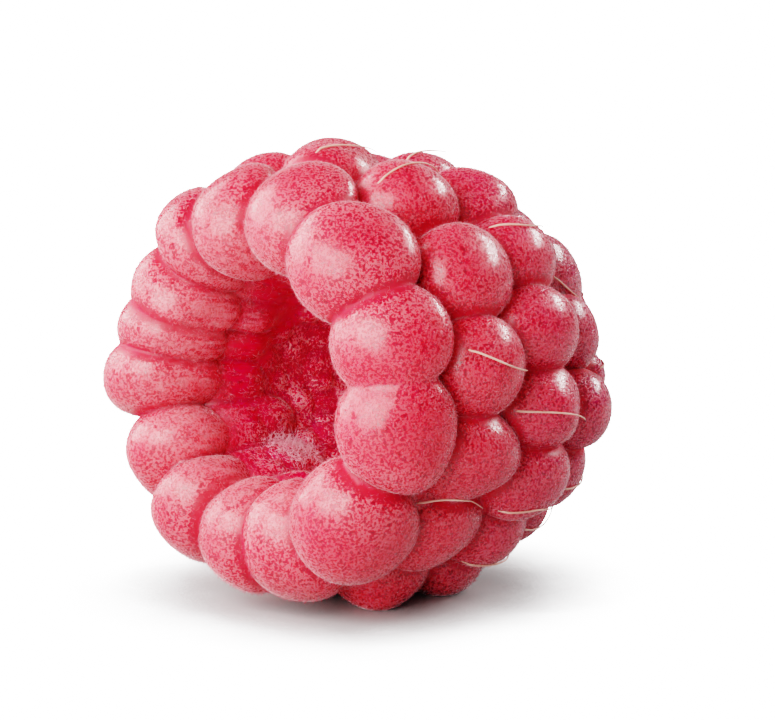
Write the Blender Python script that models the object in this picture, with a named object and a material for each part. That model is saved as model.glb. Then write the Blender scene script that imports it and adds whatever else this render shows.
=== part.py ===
"""A ripe raspberry as picked: a cup of drupelets grown together round a hollow, lying on its side.

Metres, +Z up. The opening faces -Y and tilts up a little, the tip points to +Y, and the lowest drupelets
rest on z = 0 with small flattened patches.

The berry is laid out in a frame of its own: its +Z runs along the axis and out of the opening, a setback is
a distance behind the rim row towards the tip, and angles run round the axis as seen from the opening, 0 to
the right and 90 up.
"""

import math
from collections import namedtuple

import bmesh
import bpy
import numpy as np
from mathutils import Matrix

MM = 0.001
SEED = 11

# How the berry lies: the opening's tilt above the horizon, its turn about its axis, how many drupelets bear
# it, how far a soft drupelet gives to bear, and how deep the bearing ones are flattened. Lengths in mm.
TILT_DEG = 8.0
ROLL_DEG = 8.0
BEARING_COUNT = 5
GIVE = 0.6
SETTLE = 0.2

# A lying berry sags: how far its lowest drupelets move in towards the axis, in mm.
SAG = 0.7

# The rim's drupelets grew unevenly. Each has its angle, how far out of the rim circle it sits, and how far
# it stands forward, in mm.
RIM = (
    (75, -0.6, 0.7),
    (40, -0.3, 0.8),
    (13, -0.3, 0.6),
    (-17, 0.0, 0.2),
    (-52, 0.4, 0.0),
    (-83, 0.1, -0.2),
    (-106, 0.0, -0.3),
    (-131, 0.1, -0.3),
    (-155, -0.1, -0.1),
    (-180, -0.5, 0.0),
    (-197, -0.8, 0.0),
    (-212, -0.6, 0.0),
    (-232, -0.1, 0.0),
    (-254, -0.4, 0.2),
)

# A row of drupelets: setback and radius of their centres, how much deeper the row's lower side lies, their
# half sizes along the berry and through its wall, how far their outer ends lean towards the tip, how many
# there are, and the angle of the first. Lengths in mm.
Row = namedtuple("Row", "setback radius skew along through lean_deg count first_deg")
RIM_ROW = Row(0.0, 7.9, 0.0, 2.55, 3.1, 0, len(RIM), 0)
ROWS = (
    Row(4.3, 8.1, 0.7, 3.0, 3.1, 0, 13, 4.5),
    Row(8.4, 7.9, 0.4, 2.9, 3.1, 10, 16, 13.6),
    Row(11.8, 6.2, 0.2, 2.75, 3.0, 32, 14, 15.0),
    Row(14.0, 4.0, 0.0, 2.5, 2.9, 56, 10, 5.0),
    Row(15.3, 1.9, 0.0, 2.1, 2.8, 76, 5, 20.0),
    Row(15.9, 0.0, 0.0, 1.8, 2.8, 90, 1, 0.0),
)

# Shape of a drupelet: half its width over the arc between neighbours, the least that arc counts for as a
# share of its length, how much narrower its inner end is, how far a rim drupelet bends over the rim, per
# mm, and how much of its inner half a rim drupelet keeps.
ACROSS_PER_GAP = 0.68
LEAST_GAP = 1.4
TAPER = 0.15
RIM_BEND = 0.10
RIM_INNER_SHARE = 0.80
SEGMENTS, RINGS = 10, 6

# Seeded unevenness of the drupelets.
SIZE_SPREAD = 0.05
LIFT_SPREAD = 0.2
SETBACK_SPREAD = 0.25
ANGLE_SPREAD_DEG = 1.5
TWIST_SPREAD_DEG = 10.0

# The wall that the drupelets grow from, a turned cup: distances from its axis and setbacks, in mm, and how
# finely its two sides and its turn are divided. The drupelets hide its outer side, and its inner side is
# the hollow.
WALL_OUTER = ((0.0, 17.4), (3.2, 16.2), (5.4, 14.4), (7.6, 12.4), (9.0, 8.6), (9.2, 4.3), (9.0, 0.6))
WALL_INNER = (
    (7.4, 0.2),
    (6.2, 1.2),
    (5.8, 2.5),
    (5.5, 4.5),
    (5.2, 6.5),
    (4.9, 8.2),
    (4.4, 9.8),
    (3.3, 11.6),
    (1.8, 12.9),
    (0.0, 13.3),
)
INNER_POINTS = 16
OUTER_POINTS = 10
WALL_STEPS = 56

# Behind each rim drupelet a soft ridge runs down the hollow: its height in mm, the power that blunts its
# crest, and the setbacks over which it rises and fades.
RIDGE_HEIGHT = 0.55
RIDGE_BLUNTNESS = 0.6
RIDGE_FROM = (0.2, 1.6)
RIDGE_TO = (2.8, 5.5)

FLESH_COLOR = (0.62, 0.03, 0.06, 1.0)
FLESH_ROUGHNESS = 0.45

# Where a drupelet sits in the berry's frame and how big it is. Angles in radians, lengths in mm.
Site = namedtuple("Site", "name angle radius setback lean twist through inner across along bend")


def neighbour_gaps(angles):
    """The mean of the two gaps beside each of these angles round the circle, in radians."""
    angles = angles % (2 * math.pi)
    order = np.argsort(angles)
    ahead = np.diff(np.append(angles[order], angles[order][0] + 2 * math.pi))
    gaps = np.empty(len(angles))
    gaps[order] = (ahead + np.roll(ahead, 1)) / 2
    return np.minimum(gaps, math.radians(100.0))


def row_sites(number, row, angles, outs, forwards, rng):
    """The sites of one row, each with its seeded share of unevenness."""
    lean = math.radians(row.lean_deg)
    bend, inner_share = (RIM_BEND, RIM_INNER_SHARE) if row is RIM_ROW else (0.0, 1.0)
    for index, gap in enumerate(neighbour_gaps(angles)):
        size, lift, shift, turn, twist = rng.uniform(-1, 1, 5)
        angle = angles[index] + math.radians(ANGLE_SPREAD_DEG * turn)
        out, back = LIFT_SPREAD * lift, SETBACK_SPREAD * shift
        radius = row.radius + outs[index] + out * math.cos(lean) - back * math.sin(lean)
        setback = row.setback - forwards[index] + out * math.sin(lean) + back * math.cos(lean)
        setback -= row.skew * math.sin(angle)
        radius -= SAG * max(0.0, -math.sin(angle))
        arc = max(gap * (row.radius + 0.5 * row.through * math.cos(lean)), LEAST_GAP * row.along)
        scale = 1.0 + SIZE_SPREAD * size
        yield Site(
            name=f"drupelet_{number}_{index + 1:02d}",
            angle=angle,
            radius=radius,
            setback=setback,
            lean=lean,
            twist=math.radians(TWIST_SPREAD_DEG * twist),
            through=row.through,
            inner=row.through * inner_share,
            across=ACROSS_PER_GAP * arc * scale,
            along=row.along * scale,
            bend=bend,
        )


def drupelet_sites():
    rng = np.random.default_rng(SEED)
    angles, outs, forwards = np.array(RIM, float).T
    sites = list(row_sites(0, RIM_ROW, np.radians(angles), outs, forwards, rng))
    for number, row in enumerate(ROWS, 1):
        angles = math.radians(row.first_deg) + 2 * math.pi * np.arange(row.count) / row.count
        flat = np.zeros(row.count)
        sites += row_sites(number, row, angles, flat, flat, rng)
    return sites


def clear_scene():
    for item in list(bpy.data.objects):
        bpy.data.objects.remove(item, do_unlink=True)


def new_collection(name):
    made = bpy.data.collections.new(name)
    bpy.context.scene.collection.children.link(made)
    return made


def flesh_material():
    material = bpy.data.materials.new("raspberry_flesh")
    material.use_nodes = True
    shader = material.node_tree.nodes["Principled BSDF"]
    shader.inputs["Base Color"].default_value = FLESH_COLOR
    shader.inputs["Roughness"].default_value = FLESH_ROUGHNESS
    shader.inputs["Metallic"].default_value = 0.0
    return material


def add_drupelet(site, parent, collection):
    """A ball whose X runs through the wall to the outside, narrower inside and bent over the rim."""
    bm = bmesh.new()
    bmesh.ops.create_uvsphere(bm, u_segments=SEGMENTS, v_segments=RINGS, radius=1.0)
    for vert in bm.verts:
        rise, side, pole = vert.co
        x = pole * (site.inner if pole < 0 else site.through)
        y = side * site.across * (1.0 + TAPER * (pole - 1.0))
        z = -rise * site.along - site.bend * x * x
        vert.co = (x * MM, y * MM, z * MM)
    mesh = bpy.data.meshes.new(site.name)
    bm.to_mesh(mesh)
    bm.free()
    item = bpy.data.objects.new(site.name, mesh)
    item.parent = parent
    item.matrix_local = (
        Matrix.Rotation(site.angle, 4, "Z")
        @ Matrix.Translation((site.radius * MM, 0, -site.setback * MM))
        @ Matrix.Rotation(site.lean, 4, "Y")
        @ Matrix.Rotation(site.twist, 4, "X")
    )
    collection.objects.link(item)


def smooth_step(low, high, values):
    """0 below low, 1 above high, and 3t^2 - 2t^3 in between."""
    t = np.clip((values - low) / (high - low), 0, 1)
    return t * t * (3 - 2 * t)


def even_steps(corners, count):
    """Evenly spaced points along the straight lines between corners."""
    line = np.array(corners)
    travel = np.concatenate([[0.0], np.cumsum(np.linalg.norm(np.diff(line, axis=0), axis=1))])
    at = np.linspace(0.0, travel[-1], count)
    return np.stack([np.interp(at, travel, line[:, i]) for i in range(2)], axis=1)


def ridge_relief(turns, setbacks, rim):
    """How far the hollow's wall lies outwards of its plain outline at these angles and setbacks, in mm."""
    whole = 2 * math.pi
    places = sorted((site.angle % whole, site.radius - RIM_ROW.radius) for site in rim)
    angles, outs = np.array(places).T
    angles = np.concatenate([angles[-1:] - whole, angles, angles[:1] + whole])
    outs = np.concatenate([outs[-1:], outs, outs[:1]])
    count = np.interp(turns, angles, np.arange(len(angles)))
    across = 2 * (count - np.round(count))
    share = smooth_step(*RIDGE_FROM, setbacks) * (1 - smooth_step(*RIDGE_TO, setbacks))
    crest = RIDGE_HEIGHT * (1 - across**2) ** RIDGE_BLUNTNESS
    return share * (np.interp(turns, angles, outs) - crest)


def wall_points(rim):
    """Rings of points in the berry's frame, in mm, from the hollow's floor over the rim to the tip.

    The two poles come last.
    """
    inside = even_steps(WALL_INNER, INNER_POINTS)[::-1]
    outside = even_steps(WALL_OUTER, OUTER_POINTS)[::-1]
    radii, setbacks = np.concatenate([inside, outside])[1:-1].T[:, :, None]
    turns = 2 * math.pi * np.arange(WALL_STEPS) / WALL_STEPS
    on_inside = np.arange(len(radii))[:, None] < INNER_POINTS - 1
    radii = radii + np.where(on_inside, ridge_relief(turns, setbacks, rim), 0.0)
    heights = np.broadcast_to(-setbacks, radii.shape)
    rings = np.stack([radii * np.cos(turns), radii * np.sin(turns), heights], axis=-1)
    poles = [(0, 0, -inside[0, 1]), (0, 0, -outside[-1, 1])]
    return np.concatenate([rings.reshape(-1, 3), poles])


def wall_faces(rings):
    """Quads between neighbouring rings, and a fan of triangles from each pole to its ring."""
    column = np.arange(WALL_STEPS)
    beside = (column + 1) % WALL_STEPS
    here = WALL_STEPS * np.arange(rings - 1)[:, None]
    ahead = here + WALL_STEPS
    quads = np.stack([here + column, ahead + column, ahead + beside, here + beside], axis=-1)
    last, floor, tip = WALL_STEPS * (rings - 1), WALL_STEPS * rings, WALL_STEPS * rings + 1
    floor_fan = np.stack([np.full(WALL_STEPS, floor), column, beside], axis=-1)
    tip_fan = np.stack([np.full(WALL_STEPS, tip), last + beside, last + column], axis=-1)
    return [*quads.reshape(-1, 4).tolist(), *floor_fan.tolist(), *tip_fan.tolist()]


def add_wall(rim, parent, collection, material):
    points = wall_points(rim)
    mesh = bpy.data.meshes.new("raspberry")
    mesh.from_pydata((points * MM).tolist(), [], wall_faces(INNER_POINTS + OUTER_POINTS - 2))
    mesh.materials.append(material)
    wall = bpy.data.objects.new("raspberry", mesh)
    wall.parent = parent
    collection.objects.link(wall)
    return wall


def lowest_z(item):
    return min((item.matrix_world @ vert.co).z for vert in item.data.vertices)


def lay_down(axis, drupelets):
    """Lets the berry down on z = 0 over the origin, and moves the drupelets near the ground to bear."""
    corners = np.array([item.matrix_world @ vert.co for item in drupelets for vert in item.data.vertices])
    lows = sorted(lowest_z(item) for item in drupelets)
    axis.location.xy = -(corners.min(axis=0) + corners.max(axis=0))[:2] / 2
    axis.location.z = -sum(lows[:BEARING_COUNT]) / BEARING_COUNT
    bpy.context.view_layer.update()
    for item in drupelets:
        low = lowest_z(item)
        if low < GIVE * MM:
            item.matrix_world = Matrix.Translation((0, 0, -low - SETTLE * MM)) @ item.matrix_world


def add_ground(collection):
    """A slab under z = 0, which flattens the drupelets that the berry rests on."""
    side, deep = 60 * MM, 5 * MM
    bpy.ops.mesh.primitive_cube_add(size=1.0, location=(0, 0, -deep / 2), scale=(side, side, deep))
    slab = bpy.context.object
    slab.name = "ground_cutter"
    for other in list(slab.users_collection):
        other.objects.unlink(slab)
    collection.objects.link(slab)
    return slab


def add_boolean(item, name, operation, **operand):
    modifier = item.modifiers.new(name, "BOOLEAN")
    modifier.operation = operation
    for key, value in operand.items():
        setattr(modifier, key, value)


def main():
    clear_scene()
    parts = new_collection("raspberry")
    drupelets = new_collection("raspberry_drupelets")
    cutters = new_collection("raspberry_cutters")

    axis = bpy.data.objects.new("berry_axis", None)
    parts.objects.link(axis)
    upright_to_lying = Matrix.Rotation(math.radians(90 - TILT_DEG), 4, "X")
    axis.matrix_world = upright_to_lying @ Matrix.Rotation(math.radians(ROLL_DEG), 4, "Z")
    sites = drupelet_sites()
    for site in sites:
        add_drupelet(site, axis, drupelets)
    berry = add_wall(sites[: len(RIM)], axis, parts, flesh_material())
    bpy.context.view_layer.update()
    lay_down(axis, drupelets.objects)

    add_boolean(berry, "drupelets", "UNION", operand_type="COLLECTION", collection=drupelets)
    add_boolean(berry, "ground", "DIFFERENCE", object=add_ground(cutters))
    for helper in [*drupelets.objects, *cutters.objects]:
        helper.hide_render = True
        helper.display_type = "WIRE"


main()
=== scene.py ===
# %% [markdown]
# # A ripe raspberry, as picked
#
# A raspberry is not one berry but a cup of some seventy small ones, the drupelets. They grow together round
# a plug that stays on the plant when the fruit is pulled off, so a picked berry is hollow. This one lies on
# its side with its opening towards -Y. The lesson builds its skin as one closed mesh, then grows what the
# eye reads as velvet: short pale down, the long dried styles of the flowers, and a tuft of fibres low in
# the hollow.
#
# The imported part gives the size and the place. Everything here is in metres with +Z up, and lengths that
# are easier to read in millimetres are multiplied by MM.

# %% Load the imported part
import math
from collections import namedtuple

import bpy
import numpy as np
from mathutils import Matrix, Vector
from mathutils.bvhtree import BVHTree


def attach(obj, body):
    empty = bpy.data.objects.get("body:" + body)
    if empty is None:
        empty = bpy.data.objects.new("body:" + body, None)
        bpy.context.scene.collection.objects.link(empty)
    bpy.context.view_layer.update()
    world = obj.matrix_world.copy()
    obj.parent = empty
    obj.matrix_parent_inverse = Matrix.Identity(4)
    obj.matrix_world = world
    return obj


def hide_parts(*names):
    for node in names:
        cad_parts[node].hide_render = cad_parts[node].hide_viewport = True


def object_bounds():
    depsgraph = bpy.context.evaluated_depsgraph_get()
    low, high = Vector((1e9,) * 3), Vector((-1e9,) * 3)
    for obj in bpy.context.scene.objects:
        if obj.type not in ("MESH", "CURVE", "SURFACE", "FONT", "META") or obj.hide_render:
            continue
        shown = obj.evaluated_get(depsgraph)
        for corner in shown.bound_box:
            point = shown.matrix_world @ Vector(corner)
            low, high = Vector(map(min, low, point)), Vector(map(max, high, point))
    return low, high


MM = 0.001
SEED = 11

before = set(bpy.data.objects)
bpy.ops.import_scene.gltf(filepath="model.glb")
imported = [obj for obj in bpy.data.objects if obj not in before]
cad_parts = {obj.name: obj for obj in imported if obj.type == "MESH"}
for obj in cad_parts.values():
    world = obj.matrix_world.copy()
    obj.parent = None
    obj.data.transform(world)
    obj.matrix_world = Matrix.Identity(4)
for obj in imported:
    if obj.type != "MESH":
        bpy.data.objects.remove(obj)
cad_low, cad_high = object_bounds()
print("the packed berry's box, mm:", [round(side / MM, 2) for side in cad_high - cad_low])

# %% [markdown]
# ## How the drupelets are laid out
#
# The drupelets stand in rings, or rows, round the berry's axis. Each row is one line of a table: how far it
# lies behind the rim, how far out, how big its drupelets are and how many there are. The same table built
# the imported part, so the skin made here lands on it. Only the rim's row is uneven enough to be listed
# drupelet by drupelet.
#
# The berry has a frame of its own: its +Z runs along the axis and out of the opening, a setback is a
# distance behind the rim row towards the tip, and angles run round the axis as seen from the opening, 0 to
# the right and 90 up.

# %% The rows
TILT_DEG = 8.0
ROLL_DEG = 8.0
BEARING_COUNT = 5
GIVE = 0.6
SETTLE = 0.2
SAG = 0.7

# Angle in degrees, how far out of the rim circle, and how far forward, in mm.
RIM = (
    (75, -0.6, 0.7),
    (40, -0.3, 0.8),
    (13, -0.3, 0.6),
    (-17, 0.0, 0.2),
    (-52, 0.4, 0.0),
    (-83, 0.1, -0.2),
    (-106, 0.0, -0.3),
    (-131, 0.1, -0.3),
    (-155, -0.1, -0.1),
    (-180, -0.5, 0.0),
    (-197, -0.8, 0.0),
    (-212, -0.6, 0.0),
    (-232, -0.1, 0.0),
    (-254, -0.4, 0.2),
)

Row = namedtuple("Row", "setback radius skew along through lean_deg count first_deg")
RIM_ROW = Row(0.0, 7.9, 0.0, 2.55, 3.1, 0, len(RIM), 0)
ROWS = (
    Row(4.3, 8.1, 0.7, 3.0, 3.1, 0, 13, 4.5),
    Row(8.4, 7.9, 0.4, 2.9, 3.1, 10, 16, 13.6),
    Row(11.8, 6.2, 0.2, 2.75, 3.0, 32, 14, 15.0),
    Row(14.0, 4.0, 0.0, 2.5, 2.9, 56, 10, 5.0),
    Row(15.3, 1.9, 0.0, 2.1, 2.8, 76, 5, 20.0),
    Row(15.9, 0.0, 0.0, 1.8, 2.8, 90, 1, 0.0),
)

ACROSS_PER_GAP = 0.68
LEAST_GAP = 1.4
WIDEST_GAP_DEG = 100.0
TAPER = 0.15
RIM_INNER_SHARE, INNER_SHARE = 0.80, 1.0
RIM_BEND = 0.10
SIZE_SPREAD = 0.05
LIFT_SPREAD = 0.2
SETBACK_SPREAD = 0.25
ANGLE_SPREAD_DEG = 1.5
TWIST_SPREAD_DEG = 10.0

print("drupelets:", len(RIM) + sum(row.count for row in ROWS), "in", 1 + len(ROWS), "rows")

# %% Sites: where each drupelet sits and how big it is
FIELDS = "row angle radius setback lean twist through inner across along bend".split()


def neighbour_gaps(angles):
    """The mean of the two gaps beside each of these angles round the circle, in radians."""
    angles = angles % (2 * math.pi)
    order = np.argsort(angles)
    ahead = np.diff(np.append(angles[order], angles[order][0] + 2 * math.pi))
    gaps = np.empty(len(angles))
    gaps[order] = (ahead + np.roll(ahead, 1)) / 2
    return np.minimum(gaps, math.radians(WIDEST_GAP_DEG))


def row_sites(number, row, angles, outs, forwards, rng):
    """One row's sites as columns, each drupelet with its seeded share of unevenness. Lengths in mm."""
    size, lift, shift, turn, twist = rng.uniform(-1, 1, (len(angles), 5)).T
    lean = math.radians(row.lean_deg)
    around = angles + math.radians(ANGLE_SPREAD_DEG) * turn
    out, back = LIFT_SPREAD * lift, SETBACK_SPREAD * shift
    radius = row.radius + outs + out * math.cos(lean) - back * math.sin(lean)
    setback = row.setback - forwards + out * math.sin(lean) + back * math.cos(lean)
    reach = row.radius + 0.5 * row.through * math.cos(lean)
    arc = np.maximum(neighbour_gaps(angles) * reach, LEAST_GAP * row.along)
    scale = 1.0 + SIZE_SPREAD * size
    same = np.ones(len(angles))
    return {
        "row": number * same,
        "angle": around,
        "radius": radius - SAG * np.maximum(-np.sin(around), 0),
        "setback": setback - row.skew * np.sin(around),
        "lean": lean * same,
        "twist": math.radians(TWIST_SPREAD_DEG) * twist,
        "through": row.through * same,
        "inner": (RIM_INNER_SHARE if row is RIM_ROW else INNER_SHARE) * same,
        "across": ACROSS_PER_GAP * arc * scale,
        "along": row.along * scale,
        "bend": (RIM_BEND if row is RIM_ROW else 0.0) * same,
    }


def drupelet_sites():
    """Every drupelet's site, row after row. The rim's row is listed, and the others are even rows."""
    rng = np.random.default_rng(SEED)
    angles, outs, forwards = np.array(RIM, float).T
    rows = [row_sites(0, RIM_ROW, np.radians(angles), outs, forwards, rng)]
    for number, row in enumerate(ROWS, 1):
        angles = math.radians(row.first_deg) + 2 * math.pi * np.arange(row.count) / row.count
        rows.append(row_sites(number, row, angles, np.zeros(row.count), np.zeros(row.count), rng))
    return {field: np.concatenate([made[field] for made in rows]) for field in FIELDS}


sites = drupelet_sites()
print("half widths, mm:", sites["across"].min().round(2), "to", sites["across"].max().round(2))

# %% [markdown]
# ## A pair grown into one
#
# Two neighbours on the berry's right have grown into each other, so a ball between them fills their crease
# to a shallow waist. The skin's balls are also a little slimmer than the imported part's plainer ones,
# because they are fuller at their ends.

# %% The filled waist
WAIST_BETWEEN = (2, 3)
WAIST_SHARE = 0.70
ACROSS_SHARE = 0.90
ALONG_SHARE = 0.95


def waist_site(rim):
    """A ball halfway between two rim drupelets, a little smaller than they are."""
    pair = list(WAIST_BETWEEN)
    made = {field: rim[field][pair].mean(keepdims=True) for field in FIELDS}
    for field in ("through", "across", "along"):
        made[field] = made[field] * WAIST_SHARE
    return made


rim_sites = {field: sites[field][: len(RIM)] for field in FIELDS}
grown = [sites, waist_site(rim_sites)]
sites = {field: np.concatenate([part[field] for part in grown]) for field in FIELDS}
sites["across"] = sites["across"] * ACROSS_SHARE
sites["along"] = sites["along"] * ALONG_SHARE
print("balls in the skin:", len(sites["row"]))

# %% [markdown]
# ## From a site to a surface
#
# A drupelet is a ball: a grid of two parameters, one turning round the pole and one running from pole to
# pole. The ball is stretched to its three half sizes, narrowed towards the axis, bent over the rim, dented
# a little by a few slow waves so that no two are alike, and turned into place. All the balls are one array,
# so each of these steps is a line or two.

# %% The unit ball's grid
AROUND, ALONG = 44, 30


def ring_faces(rings, around):
    """Quads between neighbouring rings of points, then a fan of triangles from each end ring to its pole. The
    two poles come after the rings in the list of points."""
    column = np.arange(around)
    beside = (column + 1) % around
    first = (np.arange(rings - 1) * around)[:, None]
    corners = [first + column, first + around + column, first + around + beside, first + beside]
    start, end = np.full(around, rings * around), np.full(around, rings * around + 1)
    last = (rings - 1) * around
    fans = [(start, column, beside), (end, last + beside, last + column)]
    fans = np.concatenate([np.stack(fan, axis=-1) for fan in fans])
    return [*np.stack(corners, axis=-1).reshape(-1, 4).tolist(), *fans.tolist()]


def ball_grid(around, along):
    """Directions (cos t sin f, sin t sin f, cos f) for turns t and falls f, then two poles, and the faces."""
    turn = np.linspace(0, 2 * math.pi, around, endpoint=False)
    fall = np.linspace(0, math.pi, along + 1)[1:-1, None]
    out = np.sin(fall)
    ring = np.stack([out * np.cos(turn), out * np.sin(turn), np.cos(fall) + 0 * turn], axis=-1)
    points = np.concatenate([ring.reshape(-1, 3), [(0, 0, 1), (0, 0, -1)]])
    return points, ring_faces(along - 1, around)


ball, ball_faces = ball_grid(AROUND, ALONG)
print("one ball:", len(ball), "points,", len(ball_faces), "faces")

# %% Stretch, taper, bend, dent and turn every ball at once
DENT = 0.026
DENT_WAVES = 5
DENT_PACE = 1.7
FULLNESS = 0.80


def turn_about(axis, angles):
    """Rotation matrices about X, Y or Z, which are axes 0, 1 and 2, one for each angle in radians."""
    angles = np.atleast_1d(angles)
    first, second = (axis + 1) % 3, (axis + 2) % 3
    made = np.zeros((len(angles), 3, 3)) + np.eye(3)
    made[:, first, first] = made[:, second, second] = np.cos(angles)
    made[:, second, first] = np.sin(angles)
    made[:, first, second] = -np.sin(angles)
    return made


def dents(directions, count, rng):
    """For each ball, slow sine waves over the directions, added up: 1 + DENT * sum(sin(k . d + phase))."""
    waves = rng.normal(0, DENT_PACE, (count, DENT_WAVES, 3))
    phases = rng.uniform(0, 2 * math.pi, (count, DENT_WAVES, 1))
    return 1 + DENT * np.sin(waves @ directions.T + phases).sum(axis=1)


def local_balls(directions, sites, rng):
    """Ball points in each site's own frame, in mm: X out through the wall, Y across, Z towards the rim."""
    rise, side, pole = directions.T
    swell = dents(directions, len(sites["row"]), rng)
    column = {field: values[:, None] for field, values in sites.items()}
    full = np.where(pole < 0, -column["inner"], 1.0) * np.abs(pole) ** FULLNESS
    x = full * column["through"] * swell
    y = side * column["across"] * swell * (1 + TAPER * (pole - 1))
    z = -rise * column["along"] * swell - column["bend"] * x * x
    return np.stack([x, y, z], axis=-1)


berry_turn = (turn_about(0, math.radians(90 - TILT_DEG)) @ turn_about(2, math.radians(ROLL_DEG)))[0]
spin = turn_about(2, sites["angle"])
seats = np.stack([sites["radius"], 0 * sites["radius"], -sites["setback"]], axis=-1)
places = (spin @ seats[:, :, None])[:, :, 0] @ berry_turn.T
turns = berry_turn @ spin @ turn_about(1, sites["lean"]) @ turn_about(0, sites["twist"])
balls = local_balls(ball, sites, np.random.default_rng(SEED + 1)) @ np.transpose(turns, (0, 2, 1))
print("points in all balls:", balls.shape[0] * balls.shape[1])

# %% [markdown]
# ## Laying the berry down
#
# Soft fruit settles: the berry sinks until several drupelets bear, and each of those flattens where it
# touches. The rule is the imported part's. The berry is centred over the origin, lowered by the mean of its
# lowest few drupelets, and each drupelet left near the ground is let down to bear.

# %% Settle the balls on the ground
loose = balls + places[:, None, :]
middle = (loose.min(axis=(0, 1)) + loose.max(axis=(0, 1))) / 2
lows = loose[:, :, 2].min(axis=1)
rest = np.array([-middle[0], -middle[1], -np.sort(lows)[:BEARING_COUNT].mean()])
lows = lows + rest[2]
places = places + rest
places[:, 2] += np.where(lows < GIVE, -lows - SETTLE, 0.0)
balls = balls + places[:, None, :]
print("drupelets that bear:", int((lows < GIVE).sum()))

# %% [markdown]
# ## The wall and the hollow's relief
#
# The drupelets grow from a wall, a turned cup. They hide its outer side, and its inner side is the hollow.
# Behind each rim drupelet a broad soft ridge runs down the hollow, where the drupelet pressed on the plug.
# Deeper in, the wall is cobbled with small mounds, the drupelets' inner ends. Both are worked out from a
# point's angle and setback alone, so the same formulas shape the wall here and tint it later.

# %% The wall's outline
WALL_OUTER = ((0.0, 17.4), (3.2, 16.2), (5.4, 14.4), (7.6, 12.4), (9.0, 8.6), (9.2, 4.3), (9.0, 0.6))
WALL_INNER = (
    (7.4, 0.2),
    (6.2, 1.2),
    (5.8, 2.5),
    (5.5, 4.5),
    (5.2, 6.5),
    (4.9, 8.2),
    (4.4, 9.8),
    (3.3, 11.6),
    (1.8, 12.9),
    (0.0, 13.3),
)
OUTER_POINTS, INNER_POINTS = 30, 140
WALL_STEPS = 220
ROUNDING_STEPS = 8


def smooth_line(corner_points, count):
    """Even steps along straight lines between corners, each point then moved several times to the mean of its
    neighbours' and its own place, which rounds the corners and leaves the ends."""
    line = np.array(corner_points, float)
    travel = np.concatenate([[0.0], np.cumsum(np.linalg.norm(np.diff(line, axis=0), axis=1))])
    at = np.linspace(0.0, travel[-1], count)
    made = np.stack([np.interp(at, travel, line[:, i]) for i in range(2)], axis=1)
    for _ in range(ROUNDING_STEPS):
        made[1:-1] = (made[:-2] + made[1:-1] + made[2:]) / 3
    return made


def wall_profile():
    """The cup's outline (r, z), from the axis up inside, over the rim and down outside."""
    sides = np.concatenate([smooth_line(WALL_OUTER, OUTER_POINTS), smooth_line(WALL_INNER, INNER_POINTS)])
    return sides[::-1] * (1, -1)


def turned(profile, steps):
    """The profile (r, z) turned round the axis: points (r cos t, r sin t, z), then a pole at each end."""
    turn = np.linspace(0, 2 * math.pi, steps, endpoint=False)
    out, height = profile[1:-1, :1], profile[1:-1, 1:]
    ring = np.stack([out * np.cos(turn), out * np.sin(turn), height + 0 * turn], axis=-1).reshape(-1, 3)
    points = np.concatenate([ring, [(0, 0, profile[0, 1]), (0, 0, profile[-1, 1])]])
    return points, ring_faces(len(profile) - 2, steps)


print("wall outline:", len(wall_profile()), "points")

# %% Ridges and mounds in the hollow
RIDGE_HEIGHT = 0.55
RIDGE_FROM, RIDGE_TO = (0.2, 1.6), (2.8, 5.5)
MOUND_HEIGHT = 0.40
MOUNDS_AROUND = 16
MOUND_PITCH = 1.3
MOUND_FROM = (4.5, 6.0)
MOUND_FADE = 2.0
BLUNTNESS = 0.6
LEAST_RADIUS = 0.1


def smooth_step(low, high, values):
    """0 below low, 1 above high, and 3t^2 - 2t^3 in between."""
    t = np.clip((values - low) / (high - low), 0, 1)
    return t * t * (3 - 2 * t)


def round_the_rim(turn):
    """For each angle: -1 to 1 across its rim drupelet, and how far that one sits out of the rim circle."""
    angles = rim_sites["angle"] % (2 * math.pi)
    order = np.argsort(angles)
    angles, outs = angles[order], (rim_sites["radius"] - RIM_ROW.radius)[order]
    angles = np.concatenate([angles[-1:] - 2 * math.pi, angles, angles[:1] + 2 * math.pi])
    outs = np.concatenate([outs[-1:], outs, outs[:1]])
    turn = turn % (2 * math.pi)
    count = np.interp(turn, angles, np.arange(len(angles)))
    return 2 * (count - np.round(count)), np.interp(turn, angles, outs)


def ridge_share(setback):
    """1 where the ridges stand at their full height, fading out towards the rim and towards the floor."""
    return smooth_step(*RIDGE_FROM, setback) * (1 - smooth_step(*RIDGE_TO, setback))


def mounds(turn, setback):
    """0 to 1 over staggered rounds: size * max(0, cos(n t') cos(pi s' / pitch)) ^ bluntness. Slow waves of no
    special pace bend the angle t' and the setback s' and vary the size, so that the rounds look grown."""
    bent = turn + 0.03 * np.sin(2.1 * setback + 1.0) + 0.03 * np.sin(3 * turn)
    along = setback + 0.15 * np.sin(3 * turn + 1.0) + 0.10 * np.sin(7 * turn)
    wave = np.cos(MOUNDS_AROUND * bent) * np.cos(math.pi * along / MOUND_PITCH)
    size = 0.75 + 0.25 * np.sin(5 * turn + 1.3 * setback)
    return size * np.clip(wave, 0, 1) ** BLUNTNESS * smooth_step(*MOUND_FROM, setback)


def relief(radius, turn, setback):
    """How far the inner side is moved outwards, in mm: out - height * (1 - u^2) ^ bluntness on the ridges, u
    running from -1 to 1 across each, less the mounds' height, which fades out near the axis."""
    across, out = round_the_rim(turn)
    ridges = ridge_share(setback) * (out - RIDGE_HEIGHT * (1 - across**2) ** BLUNTNESS)
    return ridges - MOUND_HEIGHT * mounds(turn, setback) * np.clip(radius / MOUND_FADE, 0, 1)


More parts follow.
